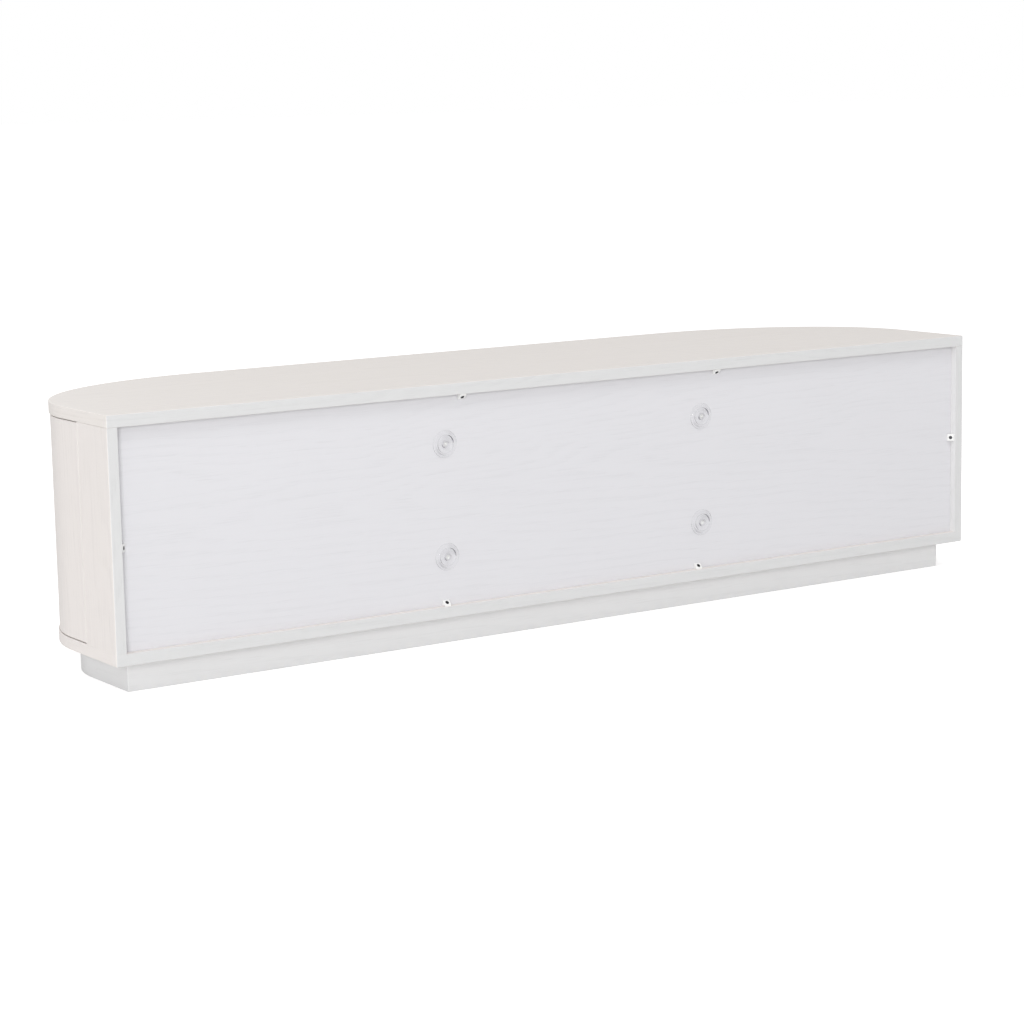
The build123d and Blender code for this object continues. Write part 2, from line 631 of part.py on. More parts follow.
def clip(frame):
    """A wedge pushed into the corner between a panel and the back, with a slanted screw seat."""
    far, lip = CLIP_LEG, CLIP_LIP
    section = Polyline((0, 0), (far, 0), (far, lip), (lip, far), (0, far), close=True)
    profile = Plane.YZ * make_face(section)
    body = extrude(profile, CLIP_WIDTH / 2, both=True)
    body = fillet(body.edges().filter_by(GeomType.LINE).filter_by(Axis.X, reverse=True), CLIP_ROUND)
    start, direction = clip_screw_axis()
    return frame * (body - hole_for(CLIP_SCREW, start, direction))


def clip_screw_axis():
    middle = (CLIP_LEG + CLIP_LIP) / 2
    return (0, middle, middle), (0, -1, -1)


def clip_screw_holes():
    start, direction = clip_screw_axis()
    return [frame * hole_for(CLIP_SCREW, start, direction) for frame in clip_frames()]


# ---------------------------------------------------------------- plinth
def plinth_end():
    """The right bent end: round the corner and back along the side to the back rail."""
    inner = PLINTH_SETBACK + RAIL
    ring = slab(PLINTH_SETBACK, PLINTH_SETBACK, 0, PLINTH_HEIGHT) - slab(inner, inner, -1, PLINTH_HEIGHT + 1)
    keep = block((RAIL_SPLIT, HALF_LENGTH), (FRONT_Y, RAIL_OUTER_BACK - RAIL), (0, PLINTH_HEIGHT))
    return ring & keep


def plinth_front_rail():
    y_range = (RAIL_OUTER_FRONT, RAIL_OUTER_FRONT + RAIL)
    return block((-RAIL_SPLIT, RAIL_SPLIT), y_range, (0, PLINTH_HEIGHT))


def plinth_back_rail():
    half = HALF_LENGTH - PLINTH_SETBACK
    rail = block((-half, half), (RAIL_OUTER_BACK - RAIL, RAIL_OUTER_BACK), (0, PLINTH_HEIGHT))
    return fillet(rail.edges().filter_by(Axis.Z).sort_by(Axis.Y)[-2:], SOFT_ARRIS)


def plinth_cross_rail(x):
    y_range = (RAIL_OUTER_FRONT + RAIL, RAIL_OUTER_BACK - RAIL)
    return block((x - RAIL / 2, x + RAIL / 2), y_range, (0, PLINTH_HEIGHT))


def rail_wall(side):
    """The inner face of the back rail, for a side of 1, or of the front rail, for -1."""
    return RAIL_OUTER_BACK - RAIL if side > 0 else RAIL_OUTER_FRONT + RAIL


def glue_block(x, side):
    """A softwood block in the angle between a rail and the bottom panel, screwed upwards."""
    wall = rail_wall(side)
    x_range = (x - BLOCK_HALF_LONG, x + BLOCK_HALF_LONG)
    body = block(x_range, (wall - side * BLOCK_SIZE, wall), (PLINTH_HEIGHT - BLOCK_SIZE, PLINTH_HEIGHT))
    return body - hole_for(BLOCK_SCREW, block_screw_start(x, side), UP)


def block_screw_start(x, side):
    return (x, rail_wall(side) - side * BLOCK_SIZE / 2, PLINTH_HEIGHT - BLOCK_SIZE)


def block_screw_starts():
    return [block_screw_start(x, side) for x, side in BLOCK_PLACES]


# ---------------------------------------------------------------- the cabinet, node by node
def carcass_nodes():
    peg_z = SHELF_Z - BOARD / 2 - PEG_RADIUS
    discs = [washer_disc(z) for z in (DISC_LOW, DISC_HIGH)]
    disc_start = BACK_OUTER + DISC_BOSS_HIGH
    disc_screws = [screw(DISC_SCREW, (DIVIDER_X, disc_start, z), FORWARD) for z in (DISC_LOW, DISC_HIGH)]
    start, direction = clip_screw_axis()
    ends = carcass_ends()
    leaves = [leaf(x, way, z, d, PIN_RADIUS) for _, x, way in HINGES for z, d in ends]
    hinge_screws = []
    for _, x, way in HINGES:
        for z, d in ends:
            hinge_screws += leaf_screws(x, way, z, d, screw)
    latch_x = (CENTRE_LATCH_X, CORNER_LATCH_X)
    latch_screws = [screw(LEAF_SCREW, s, UP) for x in latch_x for s in latch_screw_starts(x)]
    return {
        "top_panel": [top_panel()],
        "bottom_panel": [bottom_panel()],
        "side_panel_right": [side_blank() - clip_screw_holes()],
        "side_panel_left": [left_of(side_blank()) - clip_screw_holes()],
        "divider_right": [divider()],
        "divider_left": [left_of(divider())],
        "back_panel": [back_panel()],
        "shelf_centre": [centre_shelf()],
        "shelf_right": [corner_shelf()],
        "shelf_left": [left_of(corner_shelf())],
        "shelf_pegs": both([shelf_peg(mouth, out) for mouth, out in peg_spots(peg_z)]),
        "cam_bolts": both([cam_bolt(x, y) for x, y, _ in top_bolts()]),
        "cam_locks": both([cam(x, y, side) for x, y, side in top_bolts()]),
        "dowels": both([dowel(x, y, z) for x, y in dowel_places() for z in (CEILING, FLOOR_TOP)]),
        "panel_screws": both([screw(CONFIRMAT, (x, y, PLINTH_HEIGHT), UP) for x, y in confirmat_places()]),
        "back_washer_discs": both(discs),
        "back_disc_screws": both(disc_screws),
        "back_corner_clips": [clip(frame) for frame in clip_frames()],
        "back_clip_screws": [frame * screw(CLIP_SCREW, start, direction) for frame in clip_frames()],
        "plinth_front_rail": [plinth_front_rail()],
        "plinth_back_rail": [plinth_back_rail()],
        "plinth_end_right": [plinth_end()],
        "plinth_end_left": [left_of(plinth_end())],
        "plinth_cross_rails": [plinth_cross_rail(x) for x in CROSS_RAILS_X],
        "plinth_blocks": both([glue_block(x, side) for x, side in BLOCK_PLACES]),
        "plinth_block_screws": both([screw(BLOCK_SCREW, s, UP) for s in block_screw_starts()]),
        "carcass_hinge_leaves": both(leaves),
        "hinge_pins": both([hinge_pin(x, z, d) for _, x, _ in HINGES for z, d in ends]),
        "hinge_washers": both([hinge_washer(x, z, d) for _, x, _ in HINGES for z, d in ends]),
        "carcass_hinge_screws": both(hinge_screws),
        "latch_housings": both([latch_housing(x) for x in latch_x]),
        "latch_screws": both(latch_screws),
    }


def moving_nodes():
    """Doors, plungers and springs of the right side and their mirror images."""
    right = {}
    panel = corner_door_panel()
    right.update(door_parts("corner_door_right", panel, CORNER_PIVOT_X, 1, CORNER_LATCH_X))
    panel = centre_door_panel()
    right.update(door_parts("centre_door_right", panel, CENTRE_PIVOT_X, -1, CENTRE_LATCH_X))
    for name, x in (("centre", CENTRE_LATCH_X), ("corner", CORNER_LATCH_X)):
        right[f"{name}_plunger_right"] = [plunger(x)]
        right[f"{name}_spring_right"] = [spring(x)]
    left = {name.replace("right", "left"): [left_of(s) for s in solids] for name, solids in right.items()}
    return {**right, **left}


os.makedirs("parts", exist_ok=True)
for node, solids in {**carcass_nodes(), **moving_nodes()}.items():
    pieces = [piece for solid in solids for piece in solid.solids()]
    export_step(pieces[0] if len(pieces) == 1 else Compound(pieces), f"parts/{node}.step")
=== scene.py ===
import math

import bpy
from mathutils import Matrix, Vector

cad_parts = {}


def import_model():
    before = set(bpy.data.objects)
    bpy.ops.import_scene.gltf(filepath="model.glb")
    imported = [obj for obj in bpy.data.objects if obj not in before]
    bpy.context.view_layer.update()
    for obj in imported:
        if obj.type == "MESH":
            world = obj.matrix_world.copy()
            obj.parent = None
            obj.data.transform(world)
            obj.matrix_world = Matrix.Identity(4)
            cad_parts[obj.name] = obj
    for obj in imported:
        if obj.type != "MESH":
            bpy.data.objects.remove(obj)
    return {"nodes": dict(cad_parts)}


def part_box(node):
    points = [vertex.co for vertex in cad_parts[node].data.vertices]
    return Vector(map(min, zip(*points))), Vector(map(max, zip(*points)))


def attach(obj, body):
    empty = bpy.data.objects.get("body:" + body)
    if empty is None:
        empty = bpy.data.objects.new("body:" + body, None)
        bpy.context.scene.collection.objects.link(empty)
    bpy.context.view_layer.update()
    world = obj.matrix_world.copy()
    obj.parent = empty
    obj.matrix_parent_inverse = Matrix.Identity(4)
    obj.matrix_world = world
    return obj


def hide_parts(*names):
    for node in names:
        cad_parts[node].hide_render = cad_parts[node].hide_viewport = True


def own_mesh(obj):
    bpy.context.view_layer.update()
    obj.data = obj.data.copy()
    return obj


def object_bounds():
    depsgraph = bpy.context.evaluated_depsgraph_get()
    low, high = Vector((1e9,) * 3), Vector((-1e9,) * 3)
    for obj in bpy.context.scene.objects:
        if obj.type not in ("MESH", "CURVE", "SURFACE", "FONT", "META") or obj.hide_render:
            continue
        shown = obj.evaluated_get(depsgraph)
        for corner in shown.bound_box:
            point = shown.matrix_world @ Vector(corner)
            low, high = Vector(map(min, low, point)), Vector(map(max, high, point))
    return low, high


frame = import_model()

cad_box = [list(corner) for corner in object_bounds()]


# ---------------------------------------------------------------- node helpers
class Tree:
    """Short calls that add shader nodes to one material."""

    def __init__(self, name):
        self.material = bpy.data.materials.new(name)
        self.material.use_nodes = True
        self.tree = self.material.node_tree
        self.shader = self.tree.nodes["Principled BSDF"]
        self.place = self.add("ShaderNodeTexCoord").outputs["Object"]

    def add(self, kind, **settings):
        node = self.tree.nodes.new(kind)
        for key, value in settings.items():
            setattr(node, key, value)
        return node

    def feed(self, value, socket):
        """Links a socket, or sets a plain value."""
        if isinstance(value, bpy.types.NodeSocket):
            self.tree.links.new(value, socket)
        else:
            socket.default_value = value

    def math(self, operation, first, second=0.0):
        node = self.add("ShaderNodeMath", operation=operation)
        for value, socket in zip((first, second), node.inputs):
            self.feed(value, socket)
        return node.outputs[0]

    def stretch(self, vector, scale, shift=(0, 0, 0)):
        """The coordinates times a scale for each axis, then moved."""
        node = self.add("ShaderNodeMapping")
        self.feed(vector, node.inputs["Vector"])
        node.inputs["Scale"].default_value = scale
        node.inputs["Location"].default_value = shift
        return node.outputs[0]

    def noise(self, vector, scale=1.0, detail=2.0, roughness=0.5, distortion=0.0):
        node = self.add("ShaderNodeTexNoise")
        self.feed(vector, node.inputs["Vector"])
        for name, value in (
            ("Scale", scale),
            ("Detail", detail),
            ("Roughness", roughness),
            ("Distortion", distortion),
        ):
            node.inputs[name].default_value = value
        return node.outputs["Fac"]

    def span(self, value, low, high, out_low=0.0, out_high=1.0):
        """A value from one range to another, clamped and eased."""
        node = self.add("ShaderNodeMapRange", interpolation_type="SMOOTHSTEP")
        for number, socket in zip((value, low, high, out_low, out_high), node.inputs):
            self.feed(number, socket)
        return node.outputs[0]

    def blend(self, amount, first, second):
        """A colour between two others: the first at 0 and the second at 1."""
        node = self.add("ShaderNodeMix", data_type="RGBA")
        self.feed(amount, node.inputs[0])
        self.feed(first, node.inputs[6])
        self.feed(second, node.inputs[7])
        return node.outputs[2]

    def pick(self, amount, first, second):
        """One of two vectors: the first at 0 and the second at 1."""
        node = self.add("ShaderNodeMix", data_type="VECTOR")
        self.feed(amount, node.inputs[0])
        self.feed(first, node.inputs[4])
        self.feed(second, node.inputs[5])
        return node.outputs[1]

    def split(self, vector):
        node = self.add("ShaderNodeSeparateXYZ")
        self.feed(vector, node.inputs[0])
        return node.outputs

    def join(self, x, y, z):
        node = self.add("ShaderNodeCombineXYZ")
        for value, socket in zip((x, y, z), node.inputs):
            self.feed(value, socket)
        return node.outputs[0]

    def edges(self, radius):
        """Near 1 along a convex or concave edge, 0 on a flat face."""
        bevel = self.add("ShaderNodeBevel", samples=4)
        bevel.inputs["Radius"].default_value = radius
        normal = self.add("ShaderNodeNewGeometry").outputs["Normal"]
        dot = self.add("ShaderNodeVectorMath", operation="DOT_PRODUCT")
        self.feed(bevel.outputs[0], dot.inputs[0])
        self.feed(normal, dot.inputs[1])
        return self.span(self.math("SUBTRACT", 1.0, dot.outputs["Value"]), 0.01, 0.25)

    def bump(self, height, distance, strength=1.0):
        node = self.add("ShaderNodeBump")
        node.inputs["Strength"].default_value = strength
        node.inputs["Distance"].default_value = distance
        self.feed(height, node.inputs["Height"])
        self.feed(node.outputs[0], self.shader.inputs["Normal"])

    def set(self, **values):
        """Feeds the shader's inputs, with _ for a space in their names, and returns the material."""
        for name, value in values.items():
            self.feed(value, self.shader.inputs[name.replace("_", " ")])
        return self.material


def shade(colour, factor):
    """A colour made lighter or darker."""
    return (*[min(1.0, channel * factor) for channel in colour[:3]], 1.0)


BARE_EDGE = (0.86, 0.84, 0.80, 1)  # where the paint is rubbed thin along an arris


# ---------------------------------------------------------------- woods
def grain_space(t, lie):
    """Coordinates with the grain along their first axis, the face across second and depth third.
    The grain runs along the length on a lying board, upright on doors and sides, and level along the
    rails and the back."""
    x, y, z = t.split(t.place)[:3]
    if lie == "upright":
        return t.join(z, t.math("ADD", t.math("ABSOLUTE", x), y), t.math("SUBTRACT", x, y))
    along_edge = t.join(t.math("ADD", x, y), z, t.math("MULTIPLY", y, 0.2))
    if lie == "level":
        return along_edge
    normal = t.split(t.add("ShaderNodeNewGeometry").outputs["Normal"])
    on_edge = t.math("LESS_THAN", t.math("ABSOLUTE", normal[2]), 0.7)
    return t.pick(on_edge, t.join(x, y, z), along_edge)


def true_normal(t):
    return t.split(t.add("ShaderNodeNewGeometry").outputs["True Normal"])


def looks_back(t):
    """1 where a face looks along +Y, to the back of the cabinet, and 0 elsewhere."""
    return t.span(true_normal(t)[1], 0.6, 0.8)


def looks_inward(t):
    """1 where a face looks along X towards the middle of the cabinet, and 0 elsewhere."""
    outward = t.math("MULTIPLY", t.math("SIGN", t.split(t.place)[0]), true_normal(t)[0])
    return t.span(outward, -0.8, -0.6, 1.0, 0.0)


def ash(name, colour, lie, heart, figure=1.0, roughness=0.46, seed=0.0, back_edge_shade=None, inward_face_shade=None):
    """White open-pored ash: growth rings that run into cathedral arches, pores in the early wood,
    slight clouding of the paint and thinner paint along the arrises. The heart is where the arches' middle
    line lies across the face. The back edge shade is a darker tone painted as shade on faces that look to
    the back, and the inward face shade a darker tone painted as shade on faces that look at the cabinet's
    middle."""
    t = Tree(name)
    # Painted shade: faces that look back and faces that look at the cabinet's middle get darker copies of
    # the colour
    if back_edge_shade:
        colour = t.blend(looks_back(t), (*colour, 1), (*back_edge_shade, 1))
    else:
        colour = (*colour, 1)
    if inward_face_shade:
        colour = t.blend(looks_inward(t), colour, (*inward_face_shade, 1))
    space = grain_space(t, lie)
    along, across, _ = t.split(space)[:3]
    wander = t.noise(t.stretch(space, (1.1, 5.0, 1.0), (seed, seed, 0)), detail=2.5, roughness=0.55)
    ripple = t.noise(t.stretch(space, (7.0, 38.0, 4.0), (0, seed, seed)), detail=2.0)
    from_heart = t.math("SUBTRACT", across, heart)
    from_heart = t.math("ADD", from_heart, t.math("MULTIPLY", t.math("SUBTRACT", wander, 0.5), 0.16))
    squared = t.math("MULTIPLY", from_heart, from_heart)
    depth = t.math("SQRT", t.math("ADD", squared, 0.0022))
    rise = t.math("MULTIPLY", t.math("ADD", along, t.math("MULTIPLY", wander, 1.4)), 0.055)
    phase = t.math("MULTIPLY", t.math("ADD", depth, rise), 72.0)
    phase = t.math("ADD", phase, t.math("MULTIPLY", ripple, 0.9))
    ring = t.math("FRACT", phase)
    early = t.math("MULTIPLY", t.span(ring, 0.0, 0.12), t.span(ring, 0.75, 0.2))
    streak = t.noise(t.stretch(space, (26.0, 1500.0, 700.0), (seed, 0, 0)), detail=1.5, roughness=0.6)
    open_share = t.math("ADD", t.math("MULTIPLY", early, 0.8), 0.2)
    pores = t.math("MULTIPLY", t.span(streak, 0.52, 0.66), open_share)
    band = t.noise(t.stretch(space, (3.5, 210.0, 60.0), (0, 0, seed)), detail=2.5, roughness=0.6)
    cloud = t.noise(t.place, scale=2.3, detail=3.0)
    line_share = t.math("ADD", t.math("MULTIPLY", early, 0.75), 0.25)
    lines = t.math("MULTIPLY", t.span(band, 0.4, 0.72), line_share)
    line_grey = t.math("MULTIPLY", lines, 0.030 * figure)
    grey = t.math("ADD", line_grey, t.math("MULTIPLY", pores, 0.055 * figure))
    grey = t.math("ADD", grey, t.math("MULTIPLY", t.math("SUBTRACT", cloud, 0.5), 0.02))
    edge = t.edges(0.0016)
    grained = t.blend(grey, colour, (0.0, 0.0, 0.0, 1))
    scuff = t.math("MULTIPLY", edge, t.span(t.noise(t.place, scale=95.0, detail=3.0), 0.5, 0.72))
    t.set(Base_Color=t.blend(t.math("MULTIPLY", scuff, 0.35), grained, BARE_EDGE))
    sheen = t.math("ADD", roughness - 0.04, t.math("MULTIPLY", cloud, 0.08))
    sheen = t.math("ADD", sheen, t.math("MULTIPLY", pores, 0.16))
    t.set(Roughness=t.math("SUBTRACT", sheen, t.math("MULTIPLY", edge, 0.08)))
    peel = t.noise(t.place, scale=900.0, detail=1.0)
    height = t.math("ADD", t.math("MULTIPLY", pores, -1.0), t.math("MULTIPLY", lines, -0.35))
    t.bump(t.math("ADD", height, t.math("MULTIPLY", peel, 0.18)), 0.00006, 0.7)
    return t.set(Specular_IOR_Level=0.35)


def bare_wood(name, colour, dark, lie, rings=120.0):
    """Unfinished softwood or beech with growth rings, pores and sawn roughness."""
    t = Tree(name)
    space = grain_space(t, lie)
    warp = t.noise(t.stretch(space, (3.0, 18.0, 18.0)), detail=3.0)
    across = t.split(space)[1]
    ring = t.math("FRACT", t.math("MULTIPLY", t.math("ADD", across, t.math("MULTIPLY", warp, 0.05)), rings))
    late = t.math("MULTIPLY", t.span(ring, 0.35, 0.95), t.span(ring, 1.0, 0.96))
    fibre = t.noise(t.stretch(space, (40.0, 1400.0, 1400.0)), detail=2.0, roughness=0.65)
    fibre_share = t.math("MULTIPLY", t.span(fibre, 0.4, 0.75), 0.3)
    amount = t.math("ADD", t.math("MULTIPLY", late, 0.45), fibre_share)
    t.set(Base_Color=t.blend(amount, (*colour, 1), (*dark, 1)))
    t.set(Roughness=t.math("ADD", 0.6, t.math("MULTIPLY", fibre, 0.25)))
    t.bump(t.math("ADD", fibre, t.math("MULTIPLY", late, 0.4)), 0.00012, 0.8)
    return t.material


# ---------------------------------------------------------------- plastics and metals
def moulded(name, colour, roughness, grain=1600.0):
    """Moulded plastic: fine texture, slight clouding and rubbed edges."""
    t = Tree(name)
    cloud = t.noise(t.place, scale=60.0, detail=3.0)
    skin = t.noise(t.place, scale=grain, detail=2.0, roughness=0.6)
    rubbed = t.math("MULTIPLY", t.edges(0.0006), 0.35)
    shaded = t.blend(t.math("MULTIPLY", cloud, 0.5), shade(colour, 1.04), shade(colour, 0.9))
    t.set(Base_Color=t.blend(rubbed, shaded, shade(colour, 1.12)))
    t.set(Roughness=t.math("ADD", roughness - 0.06, t.math("MULTIPLY", skin, 0.14)))
    t.bump(skin, 0.00003, 0.6)
    return t.set(Specular_IOR_Level=0.5)


def clear_plastic(name, painted_shade_way):
    """Clear moulded plastic with a faint swirl and fine scratches. Its walls show where they face
    sideways, and carry painted shade, a near-black tone with more opacity, where they face one way, in
    place of the floor's light that they would bend."""
    t = Tree(name)
    swirl = t.noise(t.place, scale=110.0, detail=2.0, distortion=0.8)
    scratch = t.noise(t.stretch(t.place, (900.0, 900.0, 60.0)), detail=2.0)
    normal = t.add("ShaderNodeNewGeometry").outputs["Normal"]
    shade_facing = t.add("ShaderNodeVectorMath", operation="DOT_PRODUCT")
    t.feed(normal, shade_facing.inputs[0])
    shade_facing.inputs[1].default_value = painted_shade_way
    # Painted shade: walls that face the painted shade way turn near black and more opaque
    dark = t.span(shade_facing.outputs["Value"], 0.45, 0.9)
    wall = t.span(t.math("ABSOLUTE", t.split(normal)[1]), 0.9, 0.2)
    tone = t.blend(t.math("MULTIPLY", swirl, 0.5), (0.74, 0.74, 0.77, 1), (0.62, 0.62, 0.65, 1))
    # The near-black colour here is painted shade on the walls that face that way
    t.set(Base_Color=t.blend(dark, tone, (0.10, 0.10, 0.12, 1)))
    solid = t.math("ADD", t.math("MULTIPLY", wall, 0.16), t.math("MULTIPLY", dark, 0.65))
    t.set(Alpha=t.math("ADD", solid, t.math("MULTIPLY", swirl, 0.06)))
    t.set(Roughness=t.math("ADD", 0.06, t.math("MULTIPLY", t.span(scratch, 0.55, 0.8), 0.12)))
    t.bump(swirl, 0.00008, 0.5)
    return t.set(IOR=1.49)


def plated(name, colour, roughness, tarnish):
    """Plated steel with brushed lines, tarnish spots and bright worn edges."""
    t = Tree(name)
    spots = t.noise(t.place, scale=220.0, detail=4.0, roughness=0.6)
    lines = t.noise(t.stretch(t.place, (2500.0, 180.0, 2500.0)), detail=2.0)
    amount = t.span(spots, 0.48, 0.75, 0.0, 0.7)
    plain = t.blend(amount, (*colour, 1), (*tarnish, 1))
    t.set(Base_Color=t.blend(t.math("MULTIPLY", t.edges(0.0004), 0.4), plain, shade(colour, 1.25)))
    t.set(Roughness=t.math("ADD", roughness, t.math("MULTIPLY", t.math("SUBTRACT", lines, 0.5), 0.2)))
    t.bump(lines, 0.00002, 0.5)
    return t.set(Metallic=1.0)


# ---------------------------------------------------------------- one material for each kind of piece
TOP = (0.790, 0.750, 0.719)
SIDE = (0.790, 0.748, 0.724)
BACK = (0.680, 0.675, 0.698)
PLINTH = (0.762, 0.763, 0.766)
INSIDE = (0.76, 0.755, 0.75)
# Darker copies of the panels' colour, painted as shade on back edges and on faces that look at the
# cabinet's middle
BACK_EDGE_SHADE = (0.655, 0.656, 0.656)
INWARD_FACE_SHADE = (0.74, 0.738, 0.738)

half_depth = cad_box[1][1]
MATERIALS = {
    # The back edge and inward face colours passed below are painted shade
    "top_ash": ash("top_ash", TOP, "lying", heart=-0.3 * half_depth, seed=3.1, back_edge_shade=BACK_EDGE_SHADE),
    "bottom_ash": ash("bottom_ash", SIDE, "lying", heart=0.1, seed=7.7, back_edge_shade=BACK_EDGE_SHADE),
    "side_ash": ash("side_ash", SIDE, "upright", heart=1.05, seed=5.2, back_edge_shade=BACK_EDGE_SHADE, inward_face_shade=INWARD_FACE_SHADE),
    "corner_door_ash": ash("corner_door_ash", SIDE, "upright", heart=0.55, seed=1.4),
    "centre_door_ash": ash("centre_door_ash", SIDE, "upright", heart=-0.08, seed=9.3),
    "back_ash": ash("back_ash", BACK, "level", heart=0.27, figure=0.8, roughness=0.5, seed=2.6),
    "inner_ash": ash("inner_ash", INSIDE, "upright", heart=0.3, figure=0.7, roughness=0.55, seed=4.9),
    "shelf_ash": ash("shelf_ash", INSIDE, "lying", heart=0.02, figure=0.7, roughness=0.55, seed=6.3),
    "plinth_ash": ash("plinth_ash", PLINTH, "level", heart=0.09, figure=0.8, seed=8.8),
    "beech": bare_wood("beech", (0.70, 0.50, 0.32), (0.52, 0.33, 0.19), "upright", 260.0),
    "pine_rail": bare_wood("pine_rail", (0.78, 0.60, 0.38), (0.58, 0.37, 0.18), "level"),
    # The direction whose facing walls get painted shade on the clear washers
    "clear_plastic": clear_plastic("clear_plastic", painted_shade_way=(0.66, 0.0, -0.75)),
    "white_plastic": moulded("white_plastic", (0.80, 0.80, 0.79), 0.4),
    "grey_plastic": moulded("grey_plastic", (0.30, 0.31, 0.33), 0.45),
    "nickel": plated("nickel", (0.92, 0.92, 0.92), 0.3, (0.68, 0.67, 0.65)),
    "zinc": plated("zinc", (0.55, 0.57, 0.60), 0.36, (0.33, 0.33, 0.30)),
    "black_steel": plated("black_steel", (0.06, 0.06, 0.065), 0.4, (0.025, 0.022, 0.02)),
}

FINISH = {
    "top_panel": "top_ash",
    "bottom_panel": "bottom_ash",
    "side_panel_": "side_ash",
    "divider_": "inner_ash",
    "back_panel": "back_ash",
    "shelf_pegs": "nickel",
    "shelf_": "shelf_ash",
    "cam_": "zinc",
    "dowels": "beech",
    "panel_screws": "zinc",
    "back_washer_discs": "clear_plastic",
    "back_disc_screws": "nickel",
    "back_corner_clips": "white_plastic",
    "back_clip_screws": "black_steel",
    "plinth_cross_rails": "pine_rail",
    "plinth_blocks": "pine_rail",
    "plinth_block_screws": "zinc",
    "plinth_": "plinth_ash",
    "carcass_hinge_": "nickel",
    "hinge_pins": "nickel",
    "hinge_washers": "white_plastic",
    "latch_housings": "grey_plastic",
    "latch_screws": "zinc",
    "corner_plunger": "grey_plastic",
    "centre_plunger": "grey_plastic",
    "corner_spring": "zinc",
    "centre_spring": "zinc",
}
DOOR_FINISH = {"_panel": None, "_hinge_leaves": "nickel", "_strike_plate": "zinc", "_screws": "nickel"}


def finish_of(node):
    """The material for one CAD node: doors by their ending, all others by how they start."""
    if "_door_" in node:
        ending = next(e for e in DOOR_FINISH if node.endswith(e))
        return DOOR_FINISH[ending] or node.split("_door_")[0] + "_door_ash"
    return next(FINISH[start] for start in FINISH if node.startswith(start))


def dress(node, obj):
    """Gives one CAD piece its material in every slot."""
    material = MATERIALS[finish_of(node)]
    if not obj.material_slots:
        obj.data.materials.append(material)
    for entry in obj.material_slots:
        entry.material = material


for node, obj in frame["nodes"].items():
    dress(node, obj)


# ---------------------------------------------------------------- cup washers of the back panel
# Radius from the screw's axis and height off the panel, in millimetres, from the hole outwards and back.
CUP_PROFILE = (
    (2.3, 0.2), (2.3, 1.0), (4.3, 3.0), (4.7, 3.5), (5.1, 3.8), (5.8, 3.8), (6.3, 3.6), (6.5, 3.1),
    (6.6, 2.0), (7.1, 1.5), (8.2, 1.3), (14.4, 1.3), (15.2, 1.5), (15.6, 2.1), (15.7, 4.3), (16.0, 4.8),
    (16.5, 5.0), (17.1, 4.9), (17.9, 4.4), (18.8, 3.6), (19.7, 2.7), (20.6, 1.9), (21.5, 1.4), (22.6, 1.2),
    (23.2, 1.0), (23.5, 0.7), (23.5, 0.4), (23.3, 0.2),
)
CUP_RADIUS = 0.0235
CUP_TURNS = 96


def lathe(name, places, profile, turns):
    """A closed ring profile turned about a line along +Y at each place."""
    verts, faces = [], []
    for place in places:
        first = len(verts)
        for turn in range(turns):
            angle = math.tau * turn / turns
            for radius, height in profile:
                offset = (radius * math.cos(angle), height, radius * math.sin(angle))
                verts.append(Vector(place) + Vector(offset) / 1000)
        count = len(profile)
        for turn in range(turns):
            here, beyond = first + turn * count, first + (turn + 1) % turns * count
            for k in range(count):
                after = (k + 1) % count
                faces.append((here + k, beyond + k, beyond + after, here + after))
    mesh = bpy.data.meshes.new(name)
    mesh.from_pydata(verts, [], faces)
    mesh.shade_smooth()
    mesh.set_sharp_from_angle(angle=math.radians(50))
    obj = bpy.data.objects.new(name, mesh)
    bpy.context.scene.collection.objects.link(obj)
    return obj


def cup_washers():
    """Clear cup washers with a raised ring in place of the CAD's plain discs."""
    low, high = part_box("back_washer_discs")
    xs = (low[0] + CUP_RADIUS, high[0] - CUP_RADIUS)
    zs = (low[2] + CUP_RADIUS, high[2] - CUP_RADIUS)
    cups = lathe("cup_washers", [(x, low[1], z) for x in xs for z in zs], CUP_PROFILE, CUP_TURNS)
    cups.data.materials.append(MATERIALS["clear_plastic"])
    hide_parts("back_washer_discs")
    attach(cups, "carcass")


cup_washers()


def latch_spring(kind, side):
    """A latch's spring as a copy of the CAD piece, hung on the carcass with a mesh of its own."""
    node = f"{kind}_spring_{side}"
    cad = frame["nodes"][node]
    coil = bpy.data.objects.new(f"{node}_coil", cad.data.copy())
    coil.matrix_world = cad.matrix_world
    bpy.context.scene.collection.objects.link(coil)
    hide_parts(node)
    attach(coil, "carcass")
    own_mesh(coil)


for kind in ("corner", "centre"):
    for side in ("right", "left"):
        latch_spring(kind, side)


# ---------------------------------------------------------------- studio
DOME_STRENGTH = 0.67
FLOOR_BOUNCE = 0.84
FLOOR_HALF = 60.0
FLOOR_GLOW = 0.4  # what the camera sees on top of the floor's own light, for a white ground


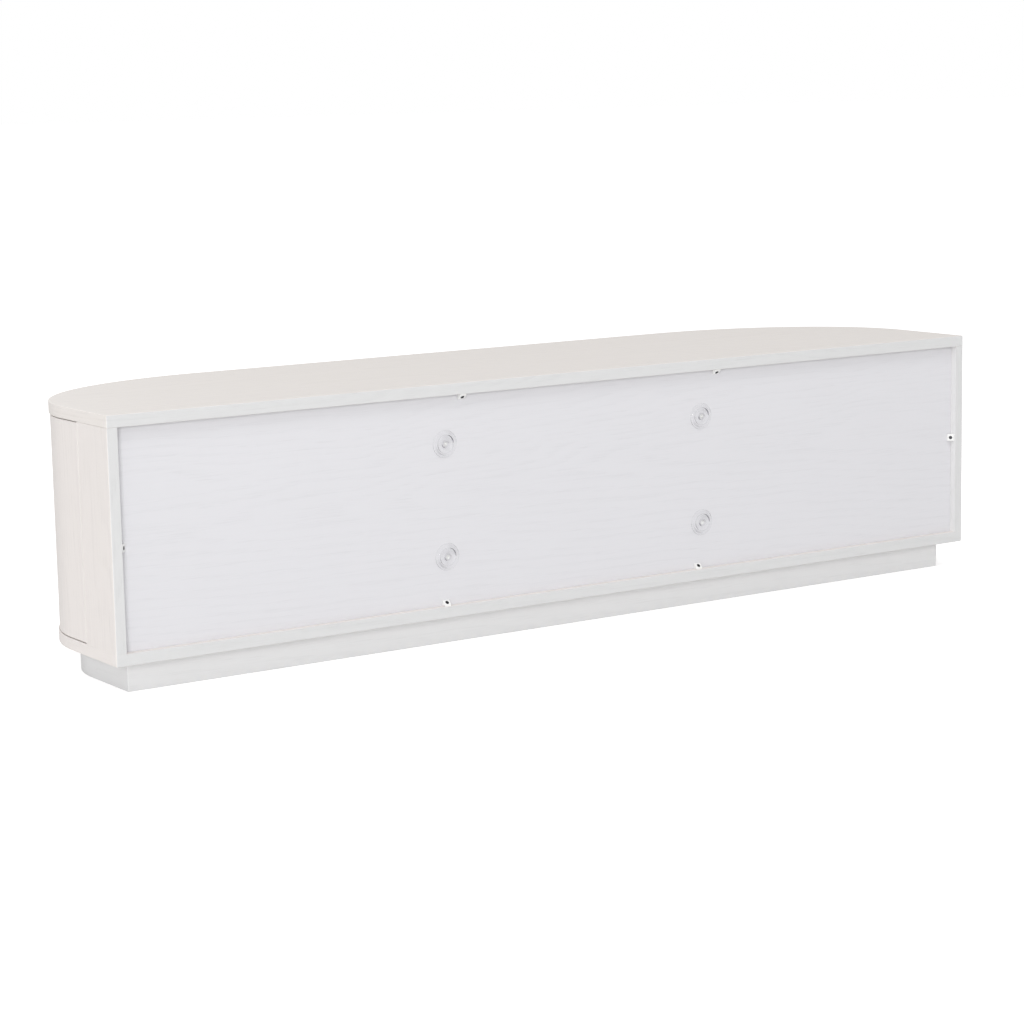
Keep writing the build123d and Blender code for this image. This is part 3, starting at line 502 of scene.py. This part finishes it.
def floor():
    """A pale seamless floor, wide enough to run to the horizon. It throws back less light than it shows."""
    mesh = bpy.data.meshes.new("floor")
    corners = [(x * FLOOR_HALF, y * FLOOR_HALF, 0) for x, y in ((-1, -1), (1, -1), (1, 1), (-1, 1))]
    mesh.from_pydata(corners, [], [(0, 1, 2, 3)])
    obj = bpy.data.objects.new("floor", mesh)
    bpy.context.scene.collection.objects.link(obj)
    t = Tree("pale_floor")
    tone = t.noise(t.place, scale=0.7, detail=3.0)
    pale = t.blend(tone, (0.97, 0.97, 0.97, 1), (0.955, 0.955, 0.955, 1))
    seen = t.add("ShaderNodeLightPath").outputs["Is Camera Ray"]
    t.set(Base_Color=t.blend(seen, (FLOOR_BOUNCE, FLOOR_BOUNCE, FLOOR_BOUNCE, 1), pale), Roughness=0.9)
    t.set(Emission_Color=(1.0, 1.0, 1.0, 1), Emission_Strength=t.math("MULTIPLY", seen, FLOOR_GLOW))
    mesh.materials.append(t.set(Specular_IOR_Level=0.0))


def direction(azimuth, elevation):
    """The way to something seen from the cabinet, with the azimuth turned from +Y towards +X."""
    turn, tilt = math.radians(azimuth), math.radians(elevation)
    level = math.cos(tilt)
    return Vector((math.sin(turn) * level, math.cos(turn) * level, math.sin(tilt)))


def soft_light(name, azimuth, elevation, distance, size, power):
    """A square area light that faces the middle of the cabinet."""
    data = bpy.data.lights.new(name, "AREA")
    data.shape = "SQUARE"
    data.size = size
    data.energy = power
    obj = bpy.data.objects.new(name, data)
    away = direction(azimuth, elevation)
    obj.location = Vector((0, 0, cad_box[1][2] / 2)) + away * distance
    obj.rotation_mode = "QUATERNION"
    obj.rotation_quaternion = (-away).to_track_quat("-Z", "Y")
    bpy.context.scene.collection.objects.link(obj)


def world():
    """An even white studio: a little dimmer as a light than as the backdrop behind the cabinet."""
    data = bpy.data.worlds.new("studio")
    data.use_nodes = True
    tree = data.node_tree
    backdrop = tree.nodes["Background"]
    backdrop.inputs["Color"].default_value = (1.0, 1.0, 1.0, 1)
    backdrop.inputs["Strength"].default_value = 1.0
    dome = tree.nodes.new("ShaderNodeBackground")
    dome.inputs["Color"].default_value = (1.0, 1.0, 1.0, 1)
    dome.inputs["Strength"].default_value = DOME_STRENGTH
    seen = tree.nodes.new("ShaderNodeLightPath").outputs["Is Camera Ray"]
    mix = tree.nodes.new("ShaderNodeMixShader")
    tree.links.new(seen, mix.inputs[0])
    tree.links.new(dome.outputs[0], mix.inputs[1])
    tree.links.new(backdrop.outputs[0], mix.inputs[2])
    tree.links.new(mix.outputs[0], tree.nodes["World Output"].inputs["Surface"])
    bpy.context.scene.world = data


CAMERA_PLACE = (2.6584, 3.9948, 0.9552)
CAMERA_AZIMUTH = 33.70
CAMERA_ELEVATION = 9.244
CAMERA_ROLL = -1.114
CAMERA_LENS = 93.87


def camera():
    """Behind the cabinet, a little above it and off its right end, with a long lens."""
    data = bpy.data.cameras.new("camera")
    data.lens = CAMERA_LENS
    data.sensor_width = 36.0
    data.clip_end = 200.0
    obj = bpy.data.objects.new("camera", data)
    back = direction(CAMERA_AZIMUTH, CAMERA_ELEVATION)
    roll = math.radians(CAMERA_ROLL)
    right = Vector((0, 0, 1)).cross(back).normalized()
    up = back.cross(right)
    right_rolled = right * math.cos(roll) + up * math.sin(roll)
    up_rolled = up * math.cos(roll) - right * math.sin(roll)
    turn = Matrix((right_rolled, up_rolled, back)).transposed().to_4x4()
    obj.matrix_world = Matrix.Translation(CAMERA_PLACE) @ turn
    bpy.context.scene.collection.objects.link(obj)
    bpy.context.scene.camera = obj


floor()
world()
soft_light("key", azimuth=40, elevation=12, distance=15.0, size=5.2, power=900)
soft_light("overhead", azimuth=31, elevation=58, distance=9.0, size=3.1, power=172)
soft_light("fill", azimuth=180, elevation=35, distance=6.0, size=3.0, power=40)
camera()
bpy.context.scene.view_settings.view_transform = "Standard"
